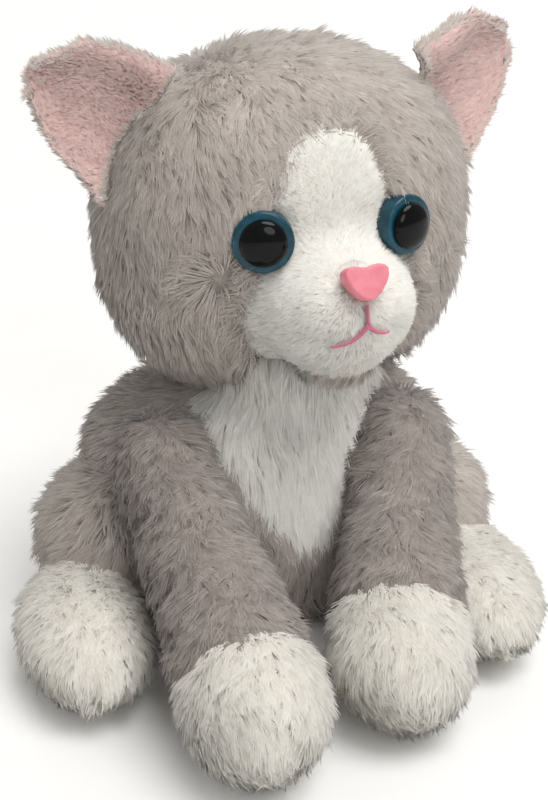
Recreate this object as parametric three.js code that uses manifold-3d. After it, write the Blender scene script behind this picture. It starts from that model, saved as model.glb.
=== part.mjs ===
// A sitting plush kitten: grey fur with a white face, bib and feet, sewn from separate soft parts.
// Millimetres, +Z up. The kitten faces -Y; the origin is on the table, under its middle.

import * as THREE from 'three';
import { mergeVertices } from 'three/addons/utils/BufferGeometryUtils.js';
import Module from 'manifold-3d';

const wasm = await Module();
wasm.setup();

// ---------------------------------------------------------------- driving sizes

const GAP = 0.4; // air between two pieces that touch
const SOCKET_GAP = 1; // air around a limb's rounded top, which turns in its hollow
const PLUSH = 6; // fabric backing and its pile together
const BIG = 400; // larger than the whole toy, for half-space cuts
const END_RINGS = 3; // rings in a rounded end
const END_FLAT = 0.4; // the small flat at its tip, as a share of a ring's step

const NECK = new THREE.Vector3(8, -6, 90); // middle of the neck, where the head turns
const NECK_BALL = 27; // radius of the rounded top of the body
const NECK_ROOM = 3; // room between that ball and the head's hollow
const HEAD_TURN = THREE.MathUtils.degToRad(9); // the head looks a little to its left
const HEAD_CENTRE = new THREE.Vector3(0, 6, 38); // above the neck
const HEAD_SIZE = new THREE.Vector3(57, 45, 50); // half width, half depth, half height
const JOWL_FULLNESS = 2.6; // 2 is a plain round underside; more is fuller cheeks
const CROWN_FULLNESS = 2.2; // the same, over the top of the head

const EYE_RADIUS = 9;
const PUPIL_RADIUS = 6.9;
const EYE_PLACE = new THREE.Vector2(22.5, 3); // sideways and up from the head's centre
const SHANK_RADIUS = 2.4;
const WASHER_RADIUS = 7;
const WASHER_THICKNESS = 1.6;

const SHOULDER = new THREE.Vector3(38, -30, 61); // middle of the ball at a front leg's top
const SHOULDER_BALL = 15;
const HIP = new THREE.Vector3(44, -6, 25); // middle of a haunch
const HAUNCH_SIZE = new THREE.Vector3(30, 31, 25);
const TAIL_ROOT = new THREE.Vector3(0, 56, 20);
const TAIL_RADIUS = 10; // at the root
const TAIL_PLUSH = 5; // its pile is a little shorter

const SIDES = { left: 1, right: -1 }; // the kitten's own left is +X

// ---------------------------------------------------------------- colours

const GREY_FUR = { color: 0xa39b98, roughness: 0.95, metalness: 0 };
const WHITE_FUR = { color: 0xe6e3de, roughness: 0.95, metalness: 0 };
const PINK_VELOUR = { color: 0xd9b0b0, roughness: 0.9, metalness: 0 };
const FIBREFILL = { color: 0xf2f1ec, roughness: 1, metalness: 0 };
const BEAN_BAG = { color: 0xcfcac0, roughness: 0.9, metalness: 0 };
const TEAL_PLASTIC = { color: 0x1c7388, roughness: 0.15, metalness: 0 };
const BLACK_PLASTIC = { color: 0x07080a, roughness: 0.08, metalness: 0 };
const PINK_PLASTIC = { color: 0xf07a8c, roughness: 0.4, metalness: 0 };
const WASHER_PLASTIC = { color: 0xe8e8e4, roughness: 0.5, metalness: 0 };
const PINK_THREAD = { color: 0xd5608a, roughness: 0.7, metalness: 0 };
const GREY_THREAD = { color: 0x8d8583, roughness: 0.8, metalness: 0 };
const WHITE_SATIN = { color: 0xf4f3ef, roughness: 0.45, metalness: 0 };

// ---------------------------------------------------------------- solids

/** A manifold solid of a closed three.js geometry. */
function solid(geometry) {
  const bare = geometry.clone();
  bare.deleteAttribute('normal');
  bare.deleteAttribute('uv');
  const merged = mergeVertices(bare, 1e-4);
  return new wasm.Manifold(new wasm.Mesh({
    numProp: 3,
    vertProperties: new Float32Array(merged.attributes.position.array),
    triVerts: new Uint32Array(merged.index.array),
  }));
}

/** A named mesh of a manifold solid. */
function piece(name, body, look) {
  const mesh = body.getMesh();
  const geometry = new THREE.BufferGeometry();
  const places = new Float32Array(mesh.vertProperties);
  geometry.setAttribute('position', new THREE.BufferAttribute(places, 3));
  geometry.setIndex(new THREE.BufferAttribute(new Uint32Array(mesh.triVerts), 1));
  geometry.computeVertexNormals();
  const result = new THREE.Mesh(geometry, new THREE.MeshStandardMaterial(look));
  result.name = name;
  return result;
}

function joined(solids) {
  return solids.reduce((whole, next) => whole.add(next));
}

function without(body, cuts) {
  return cuts.reduce((rest, cut) => rest.subtract(cut), body);
}

function ellipsoid(centre, size, around = 14, down = 10) {
  const geometry = new THREE.SphereGeometry(1, around, down);
  geometry.rotateX(Math.PI / 2);
  geometry.scale(size.x, size.y, size.z);
  geometry.translate(centre.x, centre.y, centre.z);
  return solid(geometry);
}

function ball(centre, radius, around = 14, down = 10) {
  return ellipsoid(centre, new THREE.Vector3(radius, radius, radius), around, down);
}

/** A cylinder from one point to another. */
function rod(from, to, radius, around = 16) {
  const along = to.clone().sub(from);
  const geometry = new THREE.CylinderGeometry(radius, radius, along.length(), around);
  geometry.applyQuaternion(new THREE.Quaternion().setFromUnitVectors(
    new THREE.Vector3(0, 1, 0),
    along.clone().normalize(),
  ));
  const middle = from.clone().add(to).multiplyScalar(0.5);
  geometry.translate(middle.x, middle.y, middle.z);
  return solid(geometry);
}

/** Everything below a height. */
function below(height) {
  const geometry = new THREE.BoxGeometry(BIG, BIG, BIG);
  geometry.translate(0, 0, height - BIG / 2);
  return solid(geometry);
}

/** The space on the far side of a plane, seen against its normal. */
function beyond(point, normal) {
  return rod(point, point.clone().addScaledVector(normal, BIG), BIG, 4);
}

/**
 * A closed body through oval rings. A ring has its middle, its half width across the body and
 * its half height. It stands square to the path through the middles, or faces one way that all
 * the rings share. Both ends are flat.
 */
function loft(rings, around, facing = null) {
  const points = [];
  const faces = [];
  rings.forEach((ring, i) => {
    const before = rings[Math.max(i - 1, 0)].at;
    const after = rings[Math.min(i + 1, rings.length - 1)].at;
    const along = facing ?? after.clone().sub(before).normalize();
    const across = new THREE.Vector3(1, 0, 0).projectOnPlane(along).normalize();
    const up = new THREE.Vector3().crossVectors(along, across);
    for (let k = 0; k < around; k += 1) {
      const turn = (2 * Math.PI * k) / around;
      points.push(ring.at.clone()
        .addScaledVector(across, ring.wide * Math.cos(turn))
        .addScaledVector(up, ring.high * Math.sin(turn)));
    }
  });
  for (let i = 0; i + 1 < rings.length; i += 1) {
    for (let k = 0; k < around; k += 1) {
      const a = i * around + k;
      const b = i * around + ((k + 1) % around);
      faces.push(a, b, b + around, a, b + around, a + around);
    }
  }
  const first = points.push(rings[0].at.clone()) - 1;
  const last = points.push(rings.at(-1).at.clone()) - 1;
  const end = (rings.length - 1) * around;
  for (let k = 0; k < around; k += 1) {
    const next = (k + 1) % around;
    faces.push(first, next, k, last, end + k, end + next);
  }
  const geometry = new THREE.BufferGeometry().setFromPoints(points);
  geometry.setIndex(faces);
  return solid(geometry);
}

/** The rings of a rounded end: half a ball, or half an egg, pointing along a direction. */
function roundEnd(centre, direction, length, wide, high) {
  const rings = [];
  for (let i = 1; i <= END_RINGS; i += 1) {
    const turn = (i / (END_RINGS + END_FLAT)) * (Math.PI / 2);
    rings.push({
      at: centre.clone().addScaledVector(direction, length * Math.sin(turn)),
      wide: wide * Math.cos(turn),
      high: high * Math.cos(turn),
    });
  }
  return rings;
}

/** An outline in the X-Z plane, extruded along Y between two depths. */
function plate(outline, near, far) {
  const geometry = new THREE.ExtrudeGeometry(new THREE.Shape(outline), {
    depth: far - near,
    bevelEnabled: false,
  });
  geometry.rotateX(Math.PI / 2);
  geometry.translate(0, far, 0);
  return solid(geometry);
}

/** A smooth left-right even outline from the points of one half, top to bottom. */
function mirrored(half, steps) {
  const otherHalf = half.slice(1, -1).reverse().map(([x, z]) => [-x, z]);
  const knots = [...half, ...otherHalf].map(([x, z]) => new THREE.Vector3(x, z, 0));
  const curve = new THREE.CatmullRomCurve3(knots, true);
  return Array.from({ length: steps }, (_, i) => {
    const point = curve.getPoint((i + 0.5) / steps);
    return new THREE.Vector2(point.x, point.y);
  });
}

/** The outline moved out from its own middle. */
function grown(outline, amount) {
  const middle = outline
    .reduce((sum, p) => sum.add(p), new THREE.Vector2())
    .divideScalar(outline.length);
  return outline.map((p) => p.clone().add(p.clone().sub(middle).setLength(amount)));
}

/** A closed sheet between a front and a back surface, each a point for (u, v) from 0 to 1. */
function sheet(front, back, columns, rows) {
  const points = [];
  const at = (side, i, j) => side * (columns + 1) * (rows + 1) + j * (columns + 1) + i;
  [front, back].forEach((surface) => {
    for (let j = 0; j <= rows; j += 1) {
      for (let i = 0; i <= columns; i += 1) {
        points.push(surface(i / columns, j / rows));
      }
    }
  });
  const faces = [];
  const quad = (a, b, c, d) => faces.push(a, b, c, a, c, d);
  for (let j = 0; j < rows; j += 1) {
    for (let i = 0; i < columns; i += 1) {
      quad(at(0, i, j), at(0, i + 1, j), at(0, i + 1, j + 1), at(0, i, j + 1));
      quad(at(1, i, j), at(1, i, j + 1), at(1, i + 1, j + 1), at(1, i + 1, j));
    }
    quad(at(0, 0, j), at(0, 0, j + 1), at(1, 0, j + 1), at(1, 0, j));
    quad(at(0, columns, j), at(1, columns, j), at(1, columns, j + 1), at(0, columns, j + 1));
  }
  for (let i = 0; i < columns; i += 1) {
    quad(at(0, i, 0), at(1, i, 0), at(1, i + 1, 0), at(0, i + 1, 0));
    quad(at(0, i, rows), at(0, i + 1, rows), at(1, i + 1, rows), at(1, i, rows));
  }
  const geometry = new THREE.BufferGeometry().setFromPoints(points);
  geometry.setIndex(faces);
  return solid(geometry);
}

/** A turned body: its profile is radius and height, and its axis is +Z. */
function turned(profile, around = 20) {
  const points = profile.map(([radius, height]) => new THREE.Vector2(radius, height));
  const geometry = new THREE.LatheGeometry(points, around);
  geometry.rotateX(Math.PI / 2);
  return solid(geometry);
}

/** A round thread along a curve. */
function thread(curve, radius, steps) {
  const section = new THREE.Shape().absarc(0, 0, radius, 0, 2 * Math.PI);
  const geometry = new THREE.ExtrudeGeometry(section, { steps, extrudePath: curve, curveSegments: 2 });
  return solid(geometry);
}

const vector = (x, y, z) => new THREE.Vector3(x, y, z);
const up = (height) => vector(0, 0, height);

function mirror(point, side) {
  return vector(point.x * side, point.y, point.z);
}

// ---------------------------------------------------------------- body

// Height, middle across and along, half width, half depth. The top leans to the kitten's left.
const BODY_RINGS = [
  [0, 0, 6, 38, 37],
  [9, 0, 7, 49, 47],
  [22, 0, 7, 55, 52],
  [38, -1, 6, 56, 52],
  [54, -1, 5, 54, 48],
  [65, 2, 2, 48, 42],
  [71, 5, -3, 37, 34],
  [77, 8, -6, 26, 26],
].map(([height, x, y, wide, high]) => ({ at: vector(x, y, height), wide, high }));

const BIB_MIDDLE = new THREE.Vector2(4, 0);
const BIB_FRONT = -12; // the bib is the part of the skin in front of this
const BIB_OUTLINE = mirrored(
  [[0, 95], [16, 94], [27, 84], [25, 68], [14, 48], [0, 34]],
  18,
).map((p) => p.add(BIB_MIDDLE));

const PELLET_BAG_CENTRE = vector(0, 6, 18);
const PELLET_BAG_SIZE = vector(15, 32, 9);
const FILLING_HOLE = 5; // radius of the way in that the bag's stuffing is left open by
const NECK_PLUG_RADIUS = 12;
const NECK_PLUG_BOTTOM = -12;
const NECK_PLUG_TOP = 22;
const NECK_THREAD_RADIUS = 0.5;
const LABEL_SIZE = vector(1, 18, 14);
const LABEL_PLACE = vector(-26, 63.5, 22); // its middle: one edge is at the body's back

/** The body's outside, or its inside at a depth under the surface. */
function bodySolid(depth) {
  const neck = NECK_BALL - depth;
  return loft([
    ...BODY_RINGS.map(({ at, wide, high }, i) => ({
      at: i === 0 ? at.clone().add(up(depth)) : at,
      wide: wide - depth,
      high: high - depth,
    })),
    { at: NECK, wide: neck, high: neck },
    ...roundEnd(NECK, up(1), neck, neck, neck),
  ], 18, up(1));
}

/** The hollows that the legs and the tail sit in, with room for a front leg to swing back. */
function sockets() {
  const hollows = [ball(TAIL_ROOT, TAIL_RADIUS + SOCKET_GAP, 12, 8)];
  Object.entries(SIDES).forEach(([name, side]) => {
    const { x, y, z } = mirror(SHOULDER, side);
    const leg = frontLegSolid(mirror(PAW_PLACE[name], side), -SOCKET_GAP);
    hollows.push(leg.translate([x, y, z]), leg.rotate([LEG_SWING_BACK, 0, 0]).translate([x, y, z]));
    hollows.push(ball(mirror(SHOULDER, side), SHOULDER_BALL + SOCKET_GAP));
    hollows.push(ellipsoid(mirror(HIP, side), HAUNCH_SIZE.clone().addScalar(SOCKET_GAP), 14, 8));
  });
  return hollows;
}

function body() {
  const hollows = sockets();
  const neckHole = rod(
    NECK.clone().add(up(NECK_PLUG_BOTTOM - GAP)),
    NECK.clone().add(up(BIG)),
    NECK_PLUG_RADIUS + GAP,
    20,
  );
  const shell = without(bodySolid(0), [bodySolid(PLUSH), ...hollows, neckHole]);
  const bibRoom = plate(grown(BIB_OUTLINE, GAP), -BIG, BIB_FRONT);
  const bibCut = plate(BIB_OUTLINE, -BIG, BIB_FRONT);
  const bagRoom = joined([
    ellipsoid(PELLET_BAG_CENTRE, PELLET_BAG_SIZE.clone().addScalar(GAP), 12, 8),
    rod(PELLET_BAG_CENTRE, TAIL_ROOT, FILLING_HOLE, 8),
  ]);
  const stuffing = without(bodySolid(PLUSH + GAP), [...hollows, neckHole, bagRoom]);
  const group = new THREE.Group();
  group.add(piece('body_skin', shell.subtract(bibRoom), GREY_FUR));
  group.add(piece('chest_bib', shell.intersect(bibCut), WHITE_FUR));
  group.add(piece('body_stuffing', stuffing, FIBREFILL));
  group.add(piece('pellet_bag', ellipsoid(PELLET_BAG_CENTRE, PELLET_BAG_SIZE, 12, 8), BEAN_BAG));
  group.add(label());
  return group;
}

/** The blank satin label, caught in the back seam and standing out behind. */
function label() {
  const geometry = new THREE.BoxGeometry(LABEL_SIZE.x, LABEL_SIZE.y, LABEL_SIZE.z);
  geometry.translate(LABEL_PLACE.x, LABEL_PLACE.y, LABEL_PLACE.z);
  return piece('sewn_in_label', solid(geometry), WHITE_SATIN);
}

// ---------------------------------------------------------------- neck

function neckPlug() {
  const plug = rod(up(NECK_PLUG_BOTTOM), up(NECK_PLUG_TOP), NECK_PLUG_RADIUS);
  const group = new THREE.Group();
  group.position.copy(NECK);
  group.add(piece('neck_stuffing', plug, FIBREFILL));
  return group;
}

/** The thread that draws the head onto the body, one loop around the neck. */
function neckThread() {
  const loopHeight = 5;
  const fromMiddle = NECK_BALL + NECK_ROOM / 2;
  const loopRadius = Math.sqrt(fromMiddle ** 2 - loopHeight ** 2);
  const geometry = new THREE.TorusGeometry(loopRadius, NECK_THREAD_RADIUS, 5, 24);
  geometry.translate(0, 0, loopHeight);
  const group = new THREE.Group();
  group.position.copy(NECK);
  group.add(piece('neck_seam_thread', solid(geometry), GREY_THREAD));
  return group;
}

// ---------------------------------------------------------------- head

const MUZZLE_CENTRE = HEAD_CENTRE.clone().add(vector(0, -40, -18));
const MUZZLE_SIZE = vector(25, 25, 20);
const CHIN_CENTRE = HEAD_CENTRE.clone().add(vector(0, -39, -31));
const CHIN_SIZE = vector(15, 17, 11);

// The white panel: a blaze up the forehead that widens to the round muzzle.
const FACE_OUTLINE = mirrored(
  [[0, 31], [9, 28], [15.5, 15], [15, 4], [21, -5], [26, -18], [21, -34], [0, -43]],
  28,
).map((p) => p.add(new THREE.Vector2(0, HEAD_CENTRE.z)));

// The nose, about its own middle, wide at the top.
const NOSE_OUTLINE = mirrored(
  [[0, 3.9], [4.4, 4.8], [6.9, 3.1], [5.6, -0.9], [2.2, -4.7], [0, -5.4]],
  18,
);
const NOSE_TILT = THREE.MathUtils.degToRad(22); // it looks a little upward
const NOSE_FRONT = 2.8; // how far it stands out of the muzzle
const NOSE_BACK = 2.6; // how deep it sits in the pile
const NOSE_FRAME = {
  at: HEAD_CENTRE.clone().add(vector(0, -62, -5.5)),
  outward: vector(0, -Math.cos(NOSE_TILT), Math.sin(NOSE_TILT)),
};
const MOUTH_TOP = HEAD_CENTRE.z - 12;
const MOUTH_FORK = HEAD_CENTRE.z - 17.5;
const MOUTH_THREAD_RADIUS = 0.7;

/** The round of the head: a ball that is fuller over the top and at the cheeks. */
function skull(size) {
  const geometry = new THREE.SphereGeometry(1, 18, 12);
  geometry.rotateX(Math.PI / 2);
  const place = geometry.attributes.position;
  for (let i = 0; i < place.count; i += 1) {
    const height = place.getZ(i);
    const round = Math.sqrt(Math.max(1 - height ** 2, 0));
    if (round > 0.01) {
      const fullness = height < 0 ? JOWL_FULLNESS : CROWN_FULLNESS;
      const full = (1 - Math.abs(height) ** fullness) ** (1 / fullness);
      place.setXY(i, place.getX(i) * full / round, place.getY(i) * full / round);
    }
  }
  geometry.scale(size.x, size.y, size.z);
  geometry.translate(HEAD_CENTRE.x, HEAD_CENTRE.y, HEAD_CENTRE.z);
  return solid(geometry);
}

/** The head's outside, or its inside at a depth under the surface. */
function headSolid(depth) {
  const smaller = (size) => size.clone().subScalar(depth);
  return joined([
    skull(smaller(HEAD_SIZE)),
    ellipsoid(MUZZLE_CENTRE, smaller(MUZZLE_SIZE), 14, 10),
    ellipsoid(CHIN_CENTRE, smaller(CHIN_SIZE), 10, 8),
  ]);
}

/** Where an eye sits on the head, and the way it looks. */
function eyeFrame(side) {
  const { x: across, y: rise } = EYE_PLACE;
  const back = Math.sqrt(1 - (across / HEAD_SIZE.x) ** 2 - (rise / HEAD_SIZE.z) ** 2);
  const onHead = vector(side * across, -back * HEAD_SIZE.y, rise);
  const outward = onHead.clone().divide(HEAD_SIZE).divide(HEAD_SIZE).normalize();
  return { at: onHead.add(HEAD_CENTRE), outward };
}

const EYE_DISC_DEPTH = 3.8; // how deep the coloured disc sits in the pile
const EYE_DISC_RISE = 1.8; // how far it stands out
const EYE_DISC_BEVEL = 0.7;
const PUPIL_HEIGHT = 2.8;
const PUPIL_RIM = 0.3; // the upright edge under the dome
const FITTING_LENGTH = 15; // from the surface to the end of a shank
const WASHER_DEPTH = PLUSH + GAP; // from the surface to a washer's face
const OUTSIDE = -20; // a depth that is clear of the surface

/** The point at a depth under a fitting. */
function under(frame, depth) {
  return frame.at.clone().addScaledVector(frame.outward, -depth);
}

/** The room that a fitting takes: its seat in the pile, its shank's hole and its washer's room. */
function fittingRoom(frame, seat) {
  const washerRoom = rod(
    under(frame, WASHER_DEPTH - GAP),
    under(frame, FITTING_LENGTH + GAP),
    WASHER_RADIUS + GAP,
    12,
  );
  const shankHole = rod(under(frame, 0), under(frame, FITTING_LENGTH), SHANK_RADIUS + GAP, 10);
  return joined([seat, shankHole, washerRoom]);
}

/** A washer pushed on a shank, inside the head. */
function washer(name, frame) {
  const front = WASHER_DEPTH;
  const back = WASHER_DEPTH + WASHER_THICKNESS;
  const ring = rod(under(frame, front), under(frame, back), WASHER_RADIUS, 12);
  const hole = rod(under(frame, front - 1), under(frame, back + 1), SHANK_RADIUS + GAP, 10);
  return piece(name, ring.subtract(hole), WASHER_PLASTIC);
}

/** A solid built facing +Z at the origin, moved to a fitting's place on the head. */
function fitted(body, frame) {
  const turn = new THREE.Quaternion().setFromUnitVectors(vector(0, 0, 1), frame.outward);
  const matrix = new THREE.Matrix4().compose(frame.at, turn, vector(1, 1, 1));
  return body.transform(matrix.elements);
}

function eye(name, side) {
  const frame = eyeFrame(side);
  const disc = turned([
    [0, -FITTING_LENGTH],
    [SHANK_RADIUS, -FITTING_LENGTH],
    [SHANK_RADIUS, -EYE_DISC_DEPTH],
    [EYE_RADIUS, -EYE_DISC_DEPTH],
    [EYE_RADIUS, 0],
    [EYE_RADIUS - EYE_DISC_BEVEL, EYE_DISC_RISE - EYE_DISC_BEVEL],
    [PUPIL_RADIUS, EYE_DISC_RISE],
    [0, EYE_DISC_RISE],
  ], 18);
  const domeBase = EYE_DISC_RISE + GAP;
  const domeFoot = domeBase + PUPIL_RIM;
  const dome = turned([
    [0, domeBase],
    [PUPIL_RADIUS, domeBase],
    [PUPIL_RADIUS, domeFoot],
    ...[30, 60].map(THREE.MathUtils.degToRad).map((turn) => [
      PUPIL_RADIUS * Math.cos(turn),
      domeFoot + PUPIL_HEIGHT * Math.sin(turn),
    ]),
    [0, domeFoot + PUPIL_HEIGHT],
  ], 18);
  const placed = new THREE.Group();
  placed.position.copy(frame.at);
  placed.quaternion.setFromUnitVectors(vector(0, 0, 1), frame.outward);
  placed.add(piece(`${name}_eye_iris`, disc, TEAL_PLASTIC));
  placed.add(piece(`${name}_eye_pupil`, dome, BLACK_PLASTIC));
  return [placed, washer(`${name}_eye_washer`, frame)];
}

/** The nose's outline as a plate facing +Z, from a back to a front height. */
function nosePlate(outline, back, front) {
  const geometry = new THREE.ExtrudeGeometry(new THREE.Shape(outline), {
    depth: front - back,
    bevelEnabled: false,
  });
  geometry.translate(0, 0, back);
  return solid(geometry);
}

function nose() {
  const shank = rod(up(-FITTING_LENGTH), up(0), SHANK_RADIUS, 10);
  const body = nosePlate(NOSE_OUTLINE, -NOSE_BACK, NOSE_FRONT).add(shank);
  return [
    piece('nose', fitted(body, NOSE_FRAME), PINK_PLASTIC),
    washer('nose_washer', NOSE_FRAME),
  ];
}

/** How far forward the muzzle's surface is at a place on the face. */
function muzzleFront(x, z) {
  const reach = [[MUZZLE_CENTRE, MUZZLE_SIZE], [CHIN_CENTRE, CHIN_SIZE]].map(([centre, size]) => {
    const rest = 1 - ((x - centre.x) / size.x) ** 2 - ((z - centre.z) / size.z) ** 2;
    return rest > 0 ? centre.y - size.y * Math.sqrt(rest) : 0;
  });
  return Math.min(...reach);
}

/** The stitched mouth: a line down from the nose that parts into two short curves. */
function mouth() {
  const strokes = [
    [[0, MOUTH_TOP], [0, (MOUTH_TOP + MOUTH_FORK) / 2], [0, MOUTH_FORK]],
    [[0, MOUTH_FORK], [3, MOUTH_FORK - 2.4], [7, MOUTH_FORK - 3.2]],
    [[0, MOUTH_FORK], [-4, MOUTH_FORK - 4], [-10, MOUTH_FORK - 6.4]],
  ];
  const raised = GAP + MOUTH_THREAD_RADIUS;
  return piece('mouth_stitching', joined(strokes.map((stroke) => {
    const points = stroke.map(([x, z]) => vector(x, muzzleFront(x, z) - raised, z));
    return thread(new THREE.CatmullRomCurve3(points), MOUTH_THREAD_RADIUS, 6);
  })), PINK_THREAD);
}

function head() {
  const rooms = Object.values(SIDES).map((side) => {
    const frame = eyeFrame(side);
    const seat = rod(under(frame, OUTSIDE), under(frame, EYE_DISC_DEPTH + GAP), EYE_RADIUS + GAP);
    return fittingRoom(frame, seat);
  });
  const noseSeat = nosePlate(grown(NOSE_OUTLINE, GAP), -NOSE_BACK - GAP, -OUTSIDE);
  rooms.push(fittingRoom(NOSE_FRAME, fitted(noseSeat, NOSE_FRAME)));
  rooms.push(ball(vector(0, 0, 0), NECK_BALL + NECK_ROOM, 18, 12));
  const shell = without(headSolid(0), [headSolid(PLUSH), ...rooms]);
  const faceRoom = plate(grown(FACE_OUTLINE, GAP), -BIG, 0);
  const group = new THREE.Group();
  group.position.copy(NECK);
  group.rotation.z = HEAD_TURN;
  group.add(piece('head_skin', shell.subtract(faceRoom), GREY_FUR));
  group.add(piece('face_panel', shell.intersect(plate(FACE_OUTLINE, -BIG, 0)), WHITE_FUR));
  group.add(piece('head_stuffing', without(headSolid(PLUSH + GAP), rooms), FIBREFILL));
  Object.entries(SIDES).forEach(([name, side]) => group.add(...eye(name, side)));
  group.add(...nose(), mouth());
  Object.entries(SIDES).forEach(([name, side]) => group.add(ear(name, side)));
  return group;
}

// ---------------------------------------------------------------- ears

const EAR_BASE = HEAD_CENTRE.clone().add(vector(52, -4, 32)); // middle of the line that folds
const EAR_LEAN = THREE.MathUtils.degToRad(61); // from straight up, outward
const EAR_OPEN = THREE.MathUtils.degToRad(14); // the cup turned outward
const EAR_HALF_WIDTH = 24;
const EAR_LENGTH = 31;
const EAR_ROOT = 8; // how far the layers run on under the base line, to be cut by the head
const EAR_THICKNESS = 4;
const LINING_THICKNESS = 2.5;
const LINING_SHARE = 0.94; // of the ear's outline
const EAR_CUP = 6; // how far forward the two edges curl
const EAR_TIP_CUP = 0.65; // the curl at the tip, as a share of that
const EAR_ROOM = 3; // air between the head and the ear, for the ear to fold
const EAR_BLUNT = 0.98; // how near to a point the outline runs at the tip
const EAR_UPPER_EDGE = [3, 0.5]; // how late and how roundly the edge closes to the tip
const EAR_LOWER_EDGE = [1.4, 0.65];

/**
 * The ear's width on one side at a share of its length: full at the base and round at the tip.
 * The upper edge is the rounder one, and the lower edge runs nearly straight.
 */
function earWidth(share, upper) {
  const [fall, close] = upper ? EAR_UPPER_EDGE : EAR_LOWER_EDGE;
  return EAR_HALF_WIDTH * (1 - (share * EAR_BLUNT) ** fall) ** close;
}

/** A cupped layer of the ear, from a depth behind the front to a further depth. */
function earLayer(front, back, shrink, outer) {
  const surface = (depth) => (u, v) => {
    const across = u * 2 - 1;
    const cup = EAR_CUP * across * across * (1 - (1 - EAR_TIP_CUP) * v);
    const reach = across * earWidth(v, across * outer < 0) * shrink;
    return vector(reach, depth - cup, -EAR_ROOT + (EAR_LENGTH + EAR_ROOT) * v * shrink);
  };
  return sheet(surface(front), surface(back), 6, 4);
}

function ear(name, side) {
  const placed = new THREE.Group();
  placed.position.copy(mirror(EAR_BASE, side));
  placed.rotation.set(0, side * EAR_LEAN, side * EAR_OPEN, 'ZYX');
  placed.updateMatrix();
  const headRoom = ellipsoid(HEAD_CENTRE, HEAD_SIZE.clone().addScalar(EAR_ROOM), 20, 14)
    .transform(placed.matrix.clone().invert().elements);
  const back = earLayer(GAP / 2, EAR_THICKNESS, 1, side).subtract(headRoom);
  const lining = earLayer(-LINING_THICKNESS, -GAP / 2, LINING_SHARE, side).subtract(headRoom);
  placed.add(piece(`${name}_ear_back`, back, GREY_FUR));
  placed.add(piece(`${name}_ear_lining`, lining, PINK_VELOUR));
  return placed;
}

// ---------------------------------------------------------------- front legs

// From each shoulder to the middle of its paw; the right leg is stretched further forward.
const PAW_PLACE = { left: vector(-18, -61, -41), right: vector(-12, -76, -41) };
const CUFF_SHARE = { left: 0.82, right: 0.87 }; // where the white paw is sewn on, along the leg
const PAW_SIZE = vector(21.5, 27, 21);
const LEG_SHAFT = [[0.45, 16], [0.8, 19]]; // radius at shares of the way to the paw
const LEG_BEND = 2; // how far the leg bows up between the shoulder and the paw
const LEG_SWING_BACK = 7; // degrees that a leg swings under the body

function frontLegSolid(paw, depth) {
  const along = paw.clone().normalize();
  const origin = vector(0, 0, 0);
  const shoulder = SHOULDER_BALL - depth;
  const pawSize = PAW_SIZE.clone().subScalar(depth);
  const start = roundEnd(origin, along.negate(), shoulder, shoulder, shoulder).reverse();
  const toes = roundEnd(paw, vector(0, -1, 0), pawSize.y, pawSize.x, pawSize.z);
  const shaft = LEG_SHAFT.map(([share, radius]) => ({
    at: paw.clone().multiplyScalar(share).add(up(LEG_BEND)),
    wide: radius - depth,
    high: radius - depth,
  }));
  const rings = [
    ...start,
    { at: origin, wide: shoulder, high: shoulder },
    ...shaft,
    { at: paw, wide: pawSize.x, high: pawSize.z },
    ...toes,
  ];
  return loft(rings, 12).subtract(below(depth - SHOULDER.z));
}

function frontLeg(name, side) {
  const paw = mirror(PAW_PLACE[name], side);
  const along = paw.clone().normalize();
  const cuff = paw.clone().multiplyScalar(CUFF_SHARE[name]);
  const pawCuff = cuff.clone().addScaledVector(along, GAP);
  const shell = frontLegSolid(paw, 0).subtract(frontLegSolid(paw, PLUSH));
  const legShell = shell.subtract(beyond(cuff, along));
  const pawShell = shell.subtract(beyond(pawCuff, along.clone().negate()));
  const group = new THREE.Group();
  group.position.copy(mirror(SHOULDER, side));
  group.add(piece(`${name}_front_leg`, legShell, GREY_FUR));
  group.add(piece(`${name}_front_paw`, pawShell, WHITE_FUR));
  group.add(piece(`${name}_front_leg_stuffing`, frontLegSolid(paw, PLUSH + GAP), FIBREFILL));
  return group;
}

// ---------------------------------------------------------------- hind legs

// From the middle of a haunch to the middle of its foot; the right foot is turned out further.
const FOOT_PLACE = { left: vector(12, -43, -10), right: vector(21, -43, -10) };
const FOOT_SIZE = vector(21, 38, 15);
const FOOT_OPENING = 8;

function footSolid(foot, depth) {
  return ellipsoid(foot, FOOT_SIZE.clone().subScalar(depth), 12, 8)
    .subtract(below(depth - HIP.z));
}

function hindLeg(name, side) {
  const origin = vector(0, 0, 0);
  const foot = mirror(FOOT_PLACE[name], side);
  const haunch = (depth) => ellipsoid(origin, HAUNCH_SIZE.clone().subScalar(depth), 14, 8);
  const opening = rod(origin, foot, FOOT_OPENING, 8);
  const group = new THREE.Group();
  group.position.copy(mirror(HIP, side));
  group.add(piece(`${name}_haunch`, without(haunch(0), [haunch(PLUSH), opening]), GREY_FUR));
  const footShell = without(footSolid(foot, 0), [footSolid(foot, PLUSH), haunch(-GAP), opening]);
  group.add(piece(`${name}_hind_foot`, footShell, WHITE_FUR));
  const core = rod(origin, foot, FOOT_OPENING - GAP * 2, 8);
  const footStuffing = footSolid(foot, PLUSH + GAP).subtract(haunch(-GAP));
  const stuffing = joined([haunch(PLUSH + GAP), footStuffing, core]);
  group.add(piece(`${name}_hind_leg_stuffing`, stuffing, FIBREFILL));
  return group;
}

// ---------------------------------------------------------------- tail

// Where the tail runs from its root, and its half thickness there. It curls to the left.
const TAIL_RUN = [
  [0, 0, 0, 9],
  [2, 15, -4, 10],
  [10, 29, -7, 10.5],
  [23, 38, -8, 10],
  [37, 40, -9, 9],
].map(([x, y, z, radius]) => ({ at: vector(x, y, z), radius }));

const TAIL_OPENING = 4; // radius of the hole at the root that the stuffing goes in by

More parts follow.
